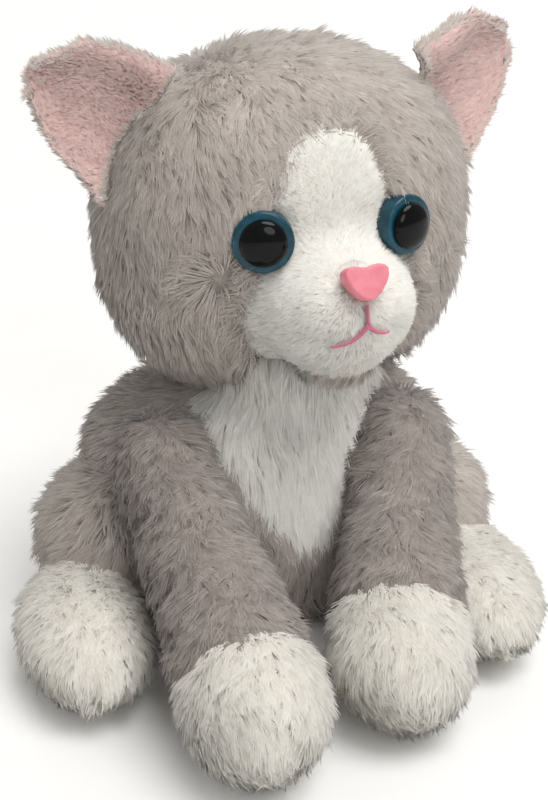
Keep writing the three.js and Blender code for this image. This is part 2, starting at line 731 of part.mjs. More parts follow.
function tailSolid(depth) {
  const root = TAIL_RUN[0];
  const tip = TAIL_RUN.at(-1);
  const end = (run, direction) => {
    const radius = run.radius - depth;
    return roundEnd(run.at, direction, radius, radius, radius);
  };
  return loft([
    ...end(root, vector(0, -1, 0)).reverse(),
    ...TAIL_RUN.map(({ at, radius }) => ({ at, wide: radius - depth, high: radius - depth })),
    ...end(tip, vector(1, 0, 0)),
  ], 10);
}

function tail() {
  const opening = rod(vector(0, -BIG, 0), vector(0, 0, 0), TAIL_OPENING, 8);
  const group = new THREE.Group();
  group.position.copy(TAIL_ROOT);
  group.add(piece('tail', without(tailSolid(0), [tailSolid(TAIL_PLUSH), opening]), GREY_FUR));
  group.add(piece('tail_stuffing', tailSolid(TAIL_PLUSH + GAP), FIBREFILL));
  return group;
}

// ---------------------------------------------------------------- kitten

const kitten = new THREE.Group();
kitten.add(body(), neckPlug(), neckThread(), head(), tail());
Object.entries(SIDES).forEach(([name, side]) => {
  kitten.add(frontLeg(name, side), hindLeg(name, side));
});

export default kitten;
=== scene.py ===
"""The looks of a sitting plush kitten: sewn and stuffed skins with their fur, eyes, nose and stitching.

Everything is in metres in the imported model's frame: the kitten faces -Y and stands on z = 0.
Each soft part is a padded fabric form made from its own CAD nodes, and its pile is made of closed
tapering strands that ride with it.
"""

import math

import bmesh
import bpy
import numpy as np
from mathutils import Matrix, Vector
from mathutils.bvhtree import BVHTree
from mathutils.kdtree import KDTree

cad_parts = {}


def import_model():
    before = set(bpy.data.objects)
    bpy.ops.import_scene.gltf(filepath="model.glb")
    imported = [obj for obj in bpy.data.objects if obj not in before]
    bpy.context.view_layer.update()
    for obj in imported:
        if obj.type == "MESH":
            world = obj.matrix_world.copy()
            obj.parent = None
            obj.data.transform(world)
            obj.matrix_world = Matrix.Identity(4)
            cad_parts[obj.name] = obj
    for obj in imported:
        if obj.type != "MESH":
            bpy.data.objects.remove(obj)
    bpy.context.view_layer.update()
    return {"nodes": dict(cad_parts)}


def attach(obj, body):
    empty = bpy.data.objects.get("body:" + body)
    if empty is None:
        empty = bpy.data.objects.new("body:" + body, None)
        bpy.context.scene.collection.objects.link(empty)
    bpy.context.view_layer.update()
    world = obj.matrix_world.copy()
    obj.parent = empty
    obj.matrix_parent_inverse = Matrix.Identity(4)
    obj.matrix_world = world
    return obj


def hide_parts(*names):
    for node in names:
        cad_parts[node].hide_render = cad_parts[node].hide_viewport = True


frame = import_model()

MM = 0.001
SIDES = {"left": 1, "right": -1}  # the kitten's own left is +X

# ---- driving sizes, as in the CAD model

NECK = Vector((8, -6, 90)) * MM
HEAD_TURN = math.radians(9)
HEAD_CENTRE = Vector((0, 6, 38)) * MM  # from the neck, in the head's own directions
MOUTH_TOP = -12 * MM  # from the head's centre
MOUTH_FORK = -17.5 * MM
NOSE = Vector((0, -62, -5.5)) * MM  # from the head's centre
PAWS = {"left": Vector((20, -91, 20)) * MM, "right": Vector((-26, -106, 20)) * MM}
HIP = Vector((44, -6, 25)) * MM
EAR_BASE = Vector((52, -4, 32)) * MM  # from the head's centre
EAR_LEAN = math.radians(61)
EAR_OPEN = math.radians(14)
EAR_HALF_WIDTH = 24 * MM
EAR_LENGTH = 31 * MM

HEAD = (
    Matrix.Translation(NECK)
    @ Matrix.Rotation(HEAD_TURN, 4, "Z")
    @ Matrix.Translation(HEAD_CENTRE)
)
HEAD_MIDDLE = HEAD.translation

# ---- small helpers


def colour(text):
    """The linear colour of a six-digit sRGB one."""
    parts = [int(text[i : i + 2], 16) / 255 for i in (0, 2, 4)]
    linear = [p / 12.92 if p < 0.04045 else ((p + 0.055) / 1.055) ** 2.4 for p in parts]
    return (*linear, 1.0)


def unit(vectors):
    """Rows of length one."""
    return vectors / np.maximum(np.linalg.norm(vectors, axis=-1, keepdims=True), 1e-12)


def link(obj):
    bpy.context.scene.collection.objects.link(obj)
    return obj


def mesh_object(name, points, faces, look):
    """A smooth object of points and faces in the model's frame."""
    mesh = bpy.data.meshes.new(name)
    mesh.from_pydata([tuple(p) for p in points], [], faces)
    mesh.validate()
    mesh.shade_smooth()
    mesh.materials.append(look)
    return link(bpy.data.objects.new(name, mesh))


def baked(obj):
    """Applies an object's modifiers."""
    graph = bpy.context.evaluated_depsgraph_get()
    mesh = bpy.data.meshes.new_from_object(obj.evaluated_get(graph))
    obj.modifiers.clear()
    old, obj.data = obj.data, mesh
    bpy.data.meshes.remove(old)
    return obj


def vectors_of(items, kind):
    """One vector for each of a mesh's vertices or faces."""
    values = np.empty(len(items) * 3, np.float32)
    items.foreach_get(kind, values)
    return values.reshape(-1, 3).astype(float)


def coordinates(obj):
    return vectors_of(obj.data.vertices, "co")


def normals(obj):
    return vectors_of(obj.data.vertices, "normal")


def set_coordinates(obj, points):
    obj.data.vertices.foreach_set("co", points.astype(np.float32).ravel())
    obj.data.update()


def tree_of(obj):
    """A search tree of a mesh's faces."""
    obj.data.calc_loop_triangles()
    triangles = [tuple(t.vertices) for t in obj.data.loop_triangles]
    return BVHTree.FromPolygons([v.co.copy() for v in obj.data.vertices], triangles)


WAVES_IN_NOISE = 7
NOISE_CREST = 0.55  # as a share of the waves' number: few of their sums are higher


def waves(points, length, seed):
    """Smooth noise from -1 to 1 in space, of about that wave length, as a sum of waves."""
    source = np.random.default_rng(seed)
    total = np.zeros(len(points))
    for _ in range(WAVES_IN_NOISE):
        direction = unit(source.normal(size=3)) * source.uniform(0.6, 1.5)
        phase = source.uniform(0, 2 * np.pi)
        total += np.sin(points @ direction * (2 * np.pi / length) + phase)
    return np.clip(total / (NOISE_CREST * WAVES_IN_NOISE), -1, 1)


def fading(away, reach, steepness=2):
    """A weight that fades from 1 with distance."""
    return np.exp(-((away / reach) ** steepness))


# ---- materials


def material(name):
    """A new node material, its node tree and its shader."""
    made = bpy.data.materials.new(name)
    made.use_nodes = True
    shader = made.node_tree.nodes["Principled BSDF"]
    return made, made.node_tree, shader


def textured(tree, scale, kind="ShaderNodeTexNoise", **values):
    """The output of a texture in object coordinates. Its scale is for one metre."""
    place = tree.nodes.new("ShaderNodeTexCoord")
    node = tree.nodes.new(kind)
    tree.links.new(place.outputs["Object"], node.inputs["Vector"])
    node.inputs["Scale"].default_value = scale
    for key, value in values.items():
        node.inputs[key].default_value = value
    return node.outputs["Fac"]


def ramp(tree, source, stops):
    """A colour ramp from a texture's output, with (place, colour) stops."""
    node = tree.nodes.new("ShaderNodeValToRGB")
    tree.links.new(source, node.inputs["Fac"])
    elements = node.color_ramp.elements
    for i, (place, shade) in enumerate(stops):
        element = elements[i] if i < len(elements) else elements.new(place)
        element.position = place
        element.color = shade
    return node.outputs["Color"]


def two_toned(tree, shader, source, dark, light, margin):
    """Colours a surface from dark to light, over all but the margins of a texture's range."""
    stops = [(margin, colour(dark)), (1 - margin, colour(light))]
    tree.links.new(ramp(tree, source, stops), shader.inputs["Base Color"])


def bump(tree, shader, source, strength, distance):
    """Raises a surface by a texture's output, up to a distance."""
    node = tree.nodes.new("ShaderNodeBump")
    node.inputs["Strength"].default_value = strength
    node.inputs["Distance"].default_value = distance
    tree.links.new(source, node.inputs["Height"])
    tree.links.new(node.outputs["Normal"], shader.inputs["Normal"])


def surface(shader, roughness, sheen=0.0, shine=0.5):
    """How a surface takes the light: how rough it is, how downy and how shiny."""
    shader.inputs["Roughness"].default_value = roughness
    shader.inputs["Sheen Weight"].default_value = sheen
    shader.inputs["Specular IOR Level"].default_value = shine


def blended(tree, first, second, share):
    """A share of one texture's output, with the rest of another's."""
    rest = tree.nodes.new("ShaderNodeMath")
    rest.operation = "MULTIPLY"
    rest.inputs[1].default_value = 1 - share
    tree.links.new(second, rest.inputs[0])
    total = tree.nodes.new("ShaderNodeMath")
    total.operation = "MULTIPLY_ADD"
    total.inputs[1].default_value = share
    tree.links.new(first, total.inputs[0])
    tree.links.new(rest.outputs["Value"], total.inputs[2])
    return total.outputs["Value"]


PATCH_SHARE = 0.45  # how much of a backing's mottling is in broad patches


def backing(name, dark, mid, light):
    """The knitted backing under the pile, with the short fibres that cover it, coloured darker than its
    pile as painted shade of the deep fur.
    """
    made, tree, shader = material(name)
    short_fibres = textured(tree, 900, Detail=4, Roughness=0.7)
    patches = textured(tree, 90, Detail=3)
    mottling = blended(tree, patches, short_fibres, PATCH_SHARE)
    stops = [(0.35, colour(dark)), (0.5, colour(mid)), (0.66, colour(light))]
    tree.links.new(ramp(tree, mottling, stops), shader.inputs["Base Color"])
    surface(shader, roughness=0.95, sheen=0.3)
    bump(tree, shader, short_fibres, strength=0.6, distance=0.6 * MM)
    return made


def fibre(name, shade):
    """One shade of pile fibre: soft, with a little sheen."""
    made, _, shader = material(name)
    shader.inputs["Base Color"].default_value = colour(shade)
    shader.inputs["Sheen Roughness"].default_value = 0.4
    surface(shader, roughness=0.75, sheen=0.25, shine=0.25)
    return made


def fibres(name, shades):
    """The shades of one pile, from its deepest to its lightest."""
    return [fibre(f"{name}_{i}", shade) for i, shade in enumerate(shades)]


GREY_PILE = fibres("grey_pile", ["a1978f", "aaa098", "b3aaa2", "bcb3ab", "c5bcb4", "cec5be"])
# the legs' grey pile is the grey pile painted darker: painted shade for legs that face down under the
# head
LEG_PILE_PAINTED_SHADE = fibres("grey_leg_pile", ["7f7670", "89807a", "938a84", "9d948e", "a89f99", "b3aaa4"])
WHITE_PILE = fibres("white_pile", ["dedad0", "e6e2d9", "ece9e1", "f1efe8", "f6f4ee"])
# the paws' white pile is the white pile painted darker: painted shade
PAW_PILE_PAINTED_SHADE = fibres("paw_pile", ["cdc8be", "d6d1c7", "ddd9d0", "e3dfd7"])
PINK_PILE = fibres("pink_pile", ["dab8b3", "e0c0ba", "e5c7c1", "eacfc9"])

# the backings are darker than their piles: painted shade between the strands
GREY_BACKING_PAINTED_SHADE = backing("grey_plush_backing", "8f857e", "9c928b", "a99f98")
WHITE_BACKING_PAINTED_SHADE = backing("white_plush_backing", "d3cdc2", "e2ddd3", "eeeae1")
PINK_BACKING_PAINTED_SHADE = backing("pink_velour_backing", "cda49e", "d8b2ab", "dfbcb5")


def plastic(name, dark, light, roughness, shine, grain):
    """Moulded plastic with a faint cloudiness in its colour."""
    made, tree, shader = material(name)
    clouds = textured(tree, grain, Detail=3)
    two_toned(tree, shader, clouds, dark, light, margin=0.35)
    surface(shader, roughness, shine=shine)
    return made


def spun(name, dark, light, grain):
    """Spun thread or filling: fine fibres that catch the light."""
    made, tree, shader = material(name)
    threads = textured(tree, grain, Detail=5, Roughness=0.7)
    two_toned(tree, shader, threads, dark, light, margin=0.3)
    surface(shader, roughness=0.7, sheen=0.4)
    bump(tree, shader, threads, strength=0.4, distance=0.3 * MM)
    return made


WAVE_PERIOD = 0.314  # the wave texture's period at a scale of 1


def woven(name, dark, light, pitch):
    """A satin ribbon's weave: a row of threads at a pitch."""
    made, tree, shader = material(name)
    rows = textured(tree, WAVE_PERIOD / pitch, "ShaderNodeTexWave", Distortion=0.2)
    two_toned(tree, shader, rows, dark, light, margin=0.2)
    surface(shader, roughness=0.35, sheen=0.3)
    bump(tree, shader, rows, strength=0.3, distance=0.2 * MM)
    return made


TEAL = plastic("teal_eye_plastic", "0b3a4a", "114c5e", roughness=0.25, shine=0.4, grain=300)
BLACK = plastic("black_eye_plastic", "040505", "08090a", roughness=0.1, shine=0.2, grain=200)
NOSE_PINK = plastic("pink_nose_plastic", "e6818f", "ed909c", roughness=0.42, shine=0.4, grain=260)
WASHER = plastic("washer_nylon", "dcdcd8", "ecece8", roughness=0.5, shine=0.5, grain=300)
PINK_THREAD = spun("pink_thread", "c45f80", "dd88a2", grain=2500)
GREY_THREAD = spun("grey_thread", "7d7573", "989090", grain=2500)
FILLING = spun("polyester_filling", "e4e2dc", "fbfaf7", grain=500)
BAG_CLOTH = spun("bean_bag_cloth", "b9b4a8", "d6d1c6", grain=1200)
SATIN = woven("white_satin", "e3e1db", "f8f7f4", pitch=0.8 * MM)

# ---- padded forms

WELD = 0.01 * MM  # points nearer than this are one
VOXEL = 3.2 * MM
SMOOTHING = 6
SWELL_START = 2.2 * MM  # how much smaller a form is before the cloth is blown up
SWELL_LIMIT = 2.6 * MM  # how far it may grow
SWELL_SLIP = 0.6 * MM  # how far a point may slide along it
SEAM_WIDTH = 3.0 * MM
SEAM_DEPTH = 1.2 * MM
SEAM_STEEPNESS = 2
CLOTH_PRESSURE = 4.0
CLOTH_FRAMES = 20
CLOTH_STIFFNESS = 15
CLOTH_BENDING = 2
LINING_FACES = 0.6  # how nearly a face of an ear faces forward to be of its lining
FABRIC_FLOOR = 0.4 * MM  # what the fabric rests at


def together(name, nodes):
    """A new object with several CAD nodes' meshes in it."""
    shape = bmesh.new()
    for node in nodes:
        shape.from_mesh(frame["nodes"][node].data)
    bmesh.ops.remove_doubles(shape, verts=shape.verts, dist=WELD)
    mesh = bpy.data.meshes.new(name)
    shape.to_mesh(mesh)
    shape.free()
    return link(bpy.data.objects.new(name, mesh))


def outermost(obj):
    """Leaves only the largest connected surface."""
    shape = bmesh.new()
    shape.from_mesh(obj.data)
    unseen = set(shape.verts)
    best = []
    while unseen:
        island = [unseen.pop()]
        for vertex in island:
            for edge in vertex.link_edges:
                other = edge.other_vert(vertex)
                if other in unseen:
                    unseen.discard(other)
                    island.append(other)
        if len(island) > len(best):
            best = island
    keep = set(best)
    bmesh.ops.delete(shape, geom=[v for v in shape.verts if v not in keep], context="VERTS")
    shape.to_mesh(obj.data)
    shape.free()
    return obj


def remeshed(obj, voxel):
    """Wraps one closed skin round everything in an object."""
    remesh = obj.modifiers.new("remesh", "REMESH")
    remesh.mode = "VOXEL"
    remesh.voxel_size = voxel
    return outermost(baked(obj))


def smoothed(obj, rounds):
    smooth = obj.modifiers.new("smooth", "SMOOTH")
    smooth.iterations = rounds
    return baked(obj)


def subdivided(obj):
    """Splits each face in four."""
    finer = obj.modifiers.new("finer", "SUBSURF")
    finer.levels = 1
    finer.render_levels = 1
    return baked(obj)


def swollen(obj):
    """Blows the fabric up with the cloth solver and keeps each point near where it was."""
    set_coordinates(obj, coordinates(obj) - normals(obj) * SWELL_START)
    begun, out = coordinates(obj), normals(obj)
    cloth = obj.modifiers.new("cloth", "CLOTH")
    cloth.settings.use_pressure = True
    cloth.settings.uniform_pressure_force = CLOTH_PRESSURE
    cloth.settings.effector_weights.gravity = 0
    cloth.settings.tension_stiffness = CLOTH_STIFFNESS
    cloth.settings.compression_stiffness = CLOTH_STIFFNESS
    cloth.settings.bending_stiffness = CLOTH_BENDING
    cloth.collision_settings.use_self_collision = False
    cloth.point_cache.frame_start = 1
    cloth.point_cache.frame_end = CLOTH_FRAMES
    scene = bpy.context.scene
    for number in range(1, CLOTH_FRAMES + 1):
        scene.frame_set(number)
    baked(obj)
    scene.frame_set(1)
    move = coordinates(obj) - begun
    rise = (move * out).sum(1, keepdims=True)
    slide = move - out * rise
    size = np.linalg.norm(slide, axis=1, keepdims=True)
    slide = slide * np.minimum(1, SWELL_SLIP / np.maximum(size, 1e-9))
    set_coordinates(obj, begun + out * np.clip(rise, 0, SWELL_LIMIT) + slide)
    return obj


FORMS = {}  # each padded form's search tree, for the pile of its neighbours


def padded_form(name, nodes, voxel=VOXEL, smoothing=SMOOTHING):
    """A stuffed fabric form with the outer shape of some CAD nodes."""
    form = smoothed(remeshed(together(name, nodes), voxel), smoothing)
    FORMS[name] = tree_of(form)
    swollen(form)
    return subdivided(form)


def nearest_of(points, nodes):
    """For each point, which of the CAD nodes' surfaces is nearest."""
    trees = [tree_of(frame["nodes"][node]) for node in nodes]
    away = np.array([[t.find_nearest(p)[3] for t in trees] for p in points])
    return away.argmin(1)


def pull_seam(obj, belongs, depth):
    """Draws the fabric in along the seam between faces of different panels."""
    touching = {}
    for face, panel in zip(obj.data.polygons, belongs, strict=True):
        for vertex in face.vertices:
            touching.setdefault(vertex, set()).add(panel)
    points = coordinates(obj)
    on_seam = [v for v, panels in touching.items() if len(panels) > 1]
    if not on_seam:
        return
    near = KDTree(len(on_seam))
    for i, vertex in enumerate(on_seam):
        near.insert(points[vertex], i)
    near.balance()
    away = np.array([near.find(p)[2] for p in points])
    pull = depth * np.exp(-((away / SEAM_WIDTH) ** 2) * SEAM_STEEPNESS)
    set_coordinates(obj, points - normals(obj) * pull[:, None])


def panels(form, nodes, looks, shaped, seam, lined):
    """Cuts a form into its sewn panels, one for each CAD skin node, and returns them by node name.

    shaped gives the form its last shaping, after it is known which panel each face is of.
    seam is how deep the seams are drawn in. lined is the way that a lining faces, where the second
    panel is one: the first then reaches round the edge to it.
    """
    if lined is None:
        belongs = nearest_of(vectors_of(form.data.polygons, "center"), nodes)
    else:
        facing = vectors_of(form.data.polygons, "normal") @ np.array(lined)
        belongs = (facing > LINING_FACES).astype(int)
    points = coordinates(form)
    if shaped is not None:
        points = shaped(points, normals(form))
    points[:, 2] = np.maximum(points[:, 2], FABRIC_FLOOR)
    set_coordinates(form, points)
    pull_seam(form, belongs, seam)
    made = {}
    for i, (node, look) in enumerate(zip(nodes, looks, strict=True)):
        shape = bmesh.new()
        shape.from_mesh(form.data)
        shape.faces.ensure_lookup_table()
        others = [shape.faces[k] for k in np.flatnonzero(belongs != i)]
        bmesh.ops.delete(shape, geom=others, context="FACES")
        mesh = bpy.data.meshes.new(f"{node}_fabric")
        shape.to_mesh(mesh)
        shape.free()
        mesh.materials.append(look)
        mesh.shade_smooth()
        made[node] = link(bpy.data.objects.new(f"{node}_fabric", mesh))
    bpy.data.objects.remove(form)
    return made


# ---- pile

FLOOR_CLEARANCE = 0.3 * MM
STRANDS_IN_PIECE = 15_000
SHADE_SHARE = 0.04  # fine fibres let light through, so only this share of a pile casts shadows
STRAND_CORNERS = [(0.0, 0.5), (-0.5, -0.3), (0.5, -0.3)]
STRAND_TAPER = 0.3  # how much narrower a strand is at each step from its root
SKIN_SHADING = 0.75  # how much of a strand's shading is that of the skin it grows on
LIT_FROM = (0.1, -0.5, 0.85)  # where the light comes from that glows through thin edges
ROOT_SHADE_TO_TIP_HIGHLIGHT = 1.4  # painted shade and highlight: shades from a strand's darker root to its lighter tip
MIDDLE_SHADE_AT = 0.6  # how far along a strand its own shade is
ROOT_CLEARANCE = 0.3 * MM  # between a root and the closed surfaces it keeps clear of

# how a coat differs from place to place, from tuft to tuft and from strand to strand
MESS_WAVE, MESS_BY_PLACE, MESS_BY_TUFT, MESS_BY_STRAND = 17 * MM, 1.6, 0.8, 0.35
LIFT_WAVE, LIFT_BY_PLACE, LIFT_BY_TUFT, LIFT_BY_STRAND = 9 * MM, 0.3, 0.1, 0.06
SHADE_WAVE, SHADE_BY_PLACE, SHADE_BY_TUFT, SHADE_BY_STRAND = 30 * MM, 0.4, 0.5, 0.35
LENGTH_BY_TUFT, LENGTH_BY_STRAND = 0.07, 0.12
WIDTH_BY_STRAND = 0.25
TWIST_BY_STRAND = 0.7
LIFT_RANGE = (0.12, 1.2)
LENGTH_RANGE = (0.6, 1.3)
WIDTH_RANGE = (0.4, 1.8)

# a strand sets out one way and ends another: how much of each is upright and how much along
START_UPRIGHT, START_ALONG = 2, 0.8
END_UPRIGHT, END_ALONG = 0.8, 1.1
TUFT_SPREAD = 0.35  # how far a tuft's tips stay apart, as a share of how far its roots are
GATHER_LATE = 1.2  # above 1, tufts gather more toward their tips


def scattered(obj, density, source):
    """Random places on a mesh, with their normals. The density is for a square millimetre."""
    mesh = obj.data
    mesh.calc_loop_triangles()
    corners = np.empty(len(mesh.loop_triangles) * 3, np.int32)
    mesh.loop_triangles.foreach_get("vertices", corners)
    corners = corners.reshape(-1, 3)
    points = coordinates(obj)
    directions = normals(obj)
    a, b, c = (points[corners[:, i]] for i in range(3))
    area = np.linalg.norm(np.cross(b - a, c - a), axis=1) / 2
    count = int(area.sum() / MM**2 * density)
    chosen = source.choice(len(area), count, p=area / area.sum())
    u, v = source.random((2, count, 1))
    u, v = np.where(u + v > 1, 1 - u, u), np.where(u + v > 1, 1 - v, v)
    weights = (1 - u - v, u, v)
    place = sum(w * points[corners[chosen, i]] for i, w in enumerate(weights))
    facing = sum(w * directions[corners[chosen, i]] for i, w in enumerate(weights))
    return place, unit(facing)


def outside_of(points, trees, margin):
    """Which points are clear of every one of some closed surfaces."""
    clear = np.ones(len(points), bool)
    for tree in trees:
        for i in np.flatnonzero(clear):
            at, normal, _, away = tree.find_nearest(points[i])
            inside = (Vector(points[i]) - at).dot(normal) < 0
            if inside or away < margin:
                clear[i] = False
    return clear


def turned(directions, axes, angles):
    """Directions turned about axes by angles."""
    cos, sin = np.cos(angles)[:, None], np.sin(angles)[:, None]
    along = (directions * axes).sum(1)[:, None]
    return directions * cos + np.cross(axes, directions) * sin + axes * along * (1 - cos)


def nearest_index(points, targets):
    """For each point, the index of the nearest target."""
    tree = KDTree(len(targets))
    for i, target in enumerate(targets):
        tree.insert(target, i)
    tree.balance()
    return np.array([tree.find(p)[1] for p in points])


def strand_faces(steps, each):
    """The triangles of one strand with so many points, and at which step each of them is."""
    faces, at_step = [], []
    for k in range(3):
        following = (k + 1) % 3
        faces.append((0, 1 + k, 1 + following))
        faces.append((each - 4 + k, each - 1, each - 4 + following))
        at_step += [0, steps - 2]
        for s in range(steps - 3):
            a, b = 1 + 3 * s + k, 1 + 3 * s + following
            faces += [(a, a + 3, b), (b, a + 3, b + 3)]
            at_step += [s + 1, s + 1]
    return np.array(faces), np.array(at_step)


def strand_points(paths, side, skin, width):
    """The points of strands along paths, and the way that each is shaded as facing."""
    along = unit(np.gradient(paths, axis=1))
    across = unit(side[:, None, :] - along * (side[:, None, :] * along).sum(2, keepdims=True))
    upward = np.cross(across, along)
    points, facing = [paths[:, 0]], [skin]
    for s in range(1, paths.shape[1] - 1):
        for x, y in STRAND_CORNERS:
            offset = across[:, s] * x + upward[:, s] * y
            points.append(paths[:, s] + offset * (width * (1 - STRAND_TAPER * (s - 1)))[:, None])
            facing.append(unit(skin * SKIN_SHADING + unit(offset) * (1 - SKIN_SHADING)))
    points.append(paths[:, -1])
    facing.append(skin)
    points = np.stack(points, axis=1)
    points[:, :, 2] = np.maximum(points[:, :, 2], FLOOR_CLEARANCE)
    return points, np.stack(facing, axis=1)


def strands(name, paths, side, skin, width, levels, shades):
    """A mesh of closed three-sided strands along paths (strand, step, xyz), pointed at both ends.

    Their shading is mostly that of the skin they grow on, as it is in a soft dense pile.
    """
    count, steps = paths.shape[:2]
    points, facing = strand_points(paths, side, skin, width)
    each = points.shape[1]
    faces, at_step = strand_faces(steps, each)
    faces = faces[None] + (np.arange(count) * each)[:, None, None]
    depth = at_step / (steps - 2)
    # painted shade at each strand's root and painted highlight at its tip
    level = levels[:, None] + (depth[None] - MIDDLE_SHADE_AT) * ROOT_SHADE_TO_TIP_HIGHLIGHT
    level = np.clip(np.rint(level), 0, len(shades) - 1).astype(np.int32)
    mesh = bpy.data.meshes.new(name)
    mesh.vertices.add(count * each)
    mesh.vertices.foreach_set("co", points.astype(np.float32).ravel())
    mesh.loops.add(faces.size)
    mesh.loops.foreach_set("vertex_index", faces.astype(np.int32).ravel())
    mesh.polygons.add(faces.size // 3)
    mesh.polygons.foreach_set("loop_start", np.arange(0, faces.size, 3, dtype=np.int32))
    for shade in shades:
        mesh.materials.append(shade)
    mesh.polygons.foreach_set("material_index", level.ravel())
    mesh.update(calc_edges=True)
    mesh.shade_smooth()
    shading = mesh.attributes.new("custom_normal", "FLOAT_VECTOR", "POINT")
    shading.data.foreach_set("vector", facing.astype(np.float32).ravel())
    return link(bpy.data.objects.new(name, mesh))


def bowed(root, reach, first, last, shares):
    """Paths (strand, step, xyz) that set out one way and bend to another."""
    places = [root + reach * (first * (t - t * t / 2) + last * t * t / 2) for t in shares]
    return np.stack(places, 1)


def gathered(paths, guides, guide, clump, shares):
    """Draws strands in toward the guide strand of their tuft."""
    root = paths[:, 0]
    leader = paths[guides][guide]
    gather = clump * shares[None, :, None] ** GATHER_LATE
    offset = (root - root[guides][guide])[:, None, :] * TUFT_SPREAD
    return paths * (1 - gather) + (leader + offset) * gather


def pile(
    fabric, shades, flow, seed, length, density=3.4, width=0.38, lift=0.3, mess=0.3, clump=0.3,
    tuft=8, steps=4, hang=0.0, glow=0.0, kind="pile", clear_of=(), spare=None,
):
    """The pile of one fabric panel, in a few pieces. Lengths and widths are in mm.

    flow gives the way the pile lies at each place, lift how much it stands up, mess how far
    it strays, clump how strongly neighbours gather, and tuft how many gather together. hang is
    how much more it stands out, and how much longer it is, where the fabric faces down.
    glow is how much light from above comes through a thin edge of it. steps is how many points
    a strand's path has, and kind is the last word of the pieces' names.
    clear_of are padded forms it doesn't grow inside, and spare marks places to leave bare.
    """
    source = np.random.default_rng(seed)
    root, out = scattered(fabric, density, source)
    keep = outside_of(root, [FORMS[other] for other in clear_of], ROOT_CLEARANCE)
    if spare is not None:
        keep &= ~spare(root)
    root, out = root[keep], out[keep]
    count = len(root)
    guides = source.choice(count, max(count // tuft, 1), replace=False)
    guide = nearest_index(root, root[guides])

    def by_tuft():
        return source.normal(size=len(guides))[guide]

    def by_strand():
        return source.normal(size=count)

    own = flow(root)
    own = unit(own - out * (own * out).sum(1)[:, None])
    own = turned(own, out, mess * MESS_BY_PLACE * waves(root, MESS_WAVE, seed + 1))
    own = turned(own, out, mess * MESS_BY_TUFT * by_tuft())
    own = turned(own, out, mess * MESS_BY_STRAND * by_strand())
    rise = lift * (1 + LIFT_BY_PLACE * waves(root, LIFT_WAVE, seed + 2))
    rise += LIFT_BY_TUFT * by_tuft() + LIFT_BY_STRAND * by_strand()
    underside = hang * np.maximum(0, -out[:, 2])
    rise = np.clip(rise + underside, *LIFT_RANGE)[:, None]
    reach = length * MM * (1 + LENGTH_BY_TUFT * by_tuft())
    reach = reach * np.clip(1 + LENGTH_BY_STRAND * by_strand(), *LENGTH_RANGE)
    reach = (reach * (1 + underside / 2))[:, None]
    first = unit(out * rise * START_UPRIGHT + own * START_ALONG)
    last = unit(out * rise * END_UPRIGHT + own * END_ALONG)
    shares = np.linspace(0, 1, steps)
    paths = gathered(bowed(root, reach, first, last, shares), guides, guide, clump, shares)
    side = unit(np.cross(own, out))
    side = turned(side, own, TWIST_BY_STRAND * by_strand())
    wide = width * MM * np.clip(1 + WIDTH_BY_STRAND * by_strand(), *WIDTH_RANGE)
    middle = (len(shades) - 1) / 2
    levels = middle + SHADE_BY_PLACE * waves(root, SHADE_WAVE, seed + 3)
    levels += SHADE_BY_TUFT * by_tuft() + SHADE_BY_STRAND * by_strand()
    skin = unit(out + np.array(LIT_FROM) * glow)
    name = fabric.name.replace("_fabric", f"_{kind}")
    shading, rest = np.split(np.arange(count), [int(count * SHADE_SHARE)])
    parts = [shading, *np.array_split(rest, math.ceil(len(rest) / STRANDS_IN_PIECE))]
    made = []
    for i, part in enumerate(parts):
        shapes = (paths[part], side[part], skin[part], wide[part], levels[part])
        fur = strands(f"{name}_{i}", *shapes, shades)
        fur.visible_shadow = i == 0
        made.append(fur)
    return made


# ---- the way the pile lies


def in_head(points):
    """Points in the head's own directions, from its centre."""
    inverse = np.array(HEAD.inverted())
    return points @ inverse[:3, :3].T + inverse[:3, 3]


def from_head(directions):
    """Directions in the head's frame, in the model's."""
    return directions @ np.array(HEAD)[:3, :3].T


EYES = [np.array([22.5 * sign, -41, 3]) * MM for sign in SIDES.values()]  # from the head's centre
EYE_PARTING = 11 * MM
COWLICKS = [(np.array([-33, -33, -9]) * MM, 13 * MM), (np.array([40, -24, -14]) * MM, 10 * MM)]
HEAD_LIE = (0.35, -0.3, -0.9)  # before what is near turns it
HEAD_SPREAD = 3  # for a metre from the middle line
CROWN_PARTING = 40 * MM  # over which the pile turns from lying forward to lying back
CROWN_TURN = 0.8  # how much it turns there
EDGE_WIDTH = 5 * MM  # how far from the white panel the grey pile leans away from it
FACE_HALF_WIDTH = 16 * MM
FACE_SPREAD = 0.8  # for the face's half width from the middle line
BIB_MIDDLE = 4 * MM
BIB_GATHER = 6  # for a metre from the bib's middle line


def parted(flow, away, reach, share=1, steepness=2):
    """Turns a flow outward from something, by a share that fades over a reach."""
    near = share * fading(np.linalg.norm(away, axis=1), reach, steepness)[:, None]
    return flow * (1 - near) + unit(away) * near


def head_flow(points):
    """Down, a little to the kitten's left, forward on the front of the head and back behind.

    It parts at the white panel and the eyes, and stars out of a cowlick on each cheek.
    """
    p = in_head(points)
    flow = np.tile(HEAD_LIE, (len(p), 1))
    flow[:, 1] += CROWN_TURN * np.clip(p[:, 1] / CROWN_PARTING, 0, 1)
    flow[:, 0] += p[:, 0] * HEAD_SPREAD
    for centre, reach in COWLICKS:
        flow = parted(flow, p - centre, reach)
    for centre in EYES:
        flow = parted(flow, p - centre, EYE_PARTING, share=0.6, steepness=4)
    edge = in_head(PANEL_POINTS)[nearest_index(points, PANEL_POINTS)]
    return from_head(parted(flow, p - edge, EDGE_WIDTH, share=0.8))


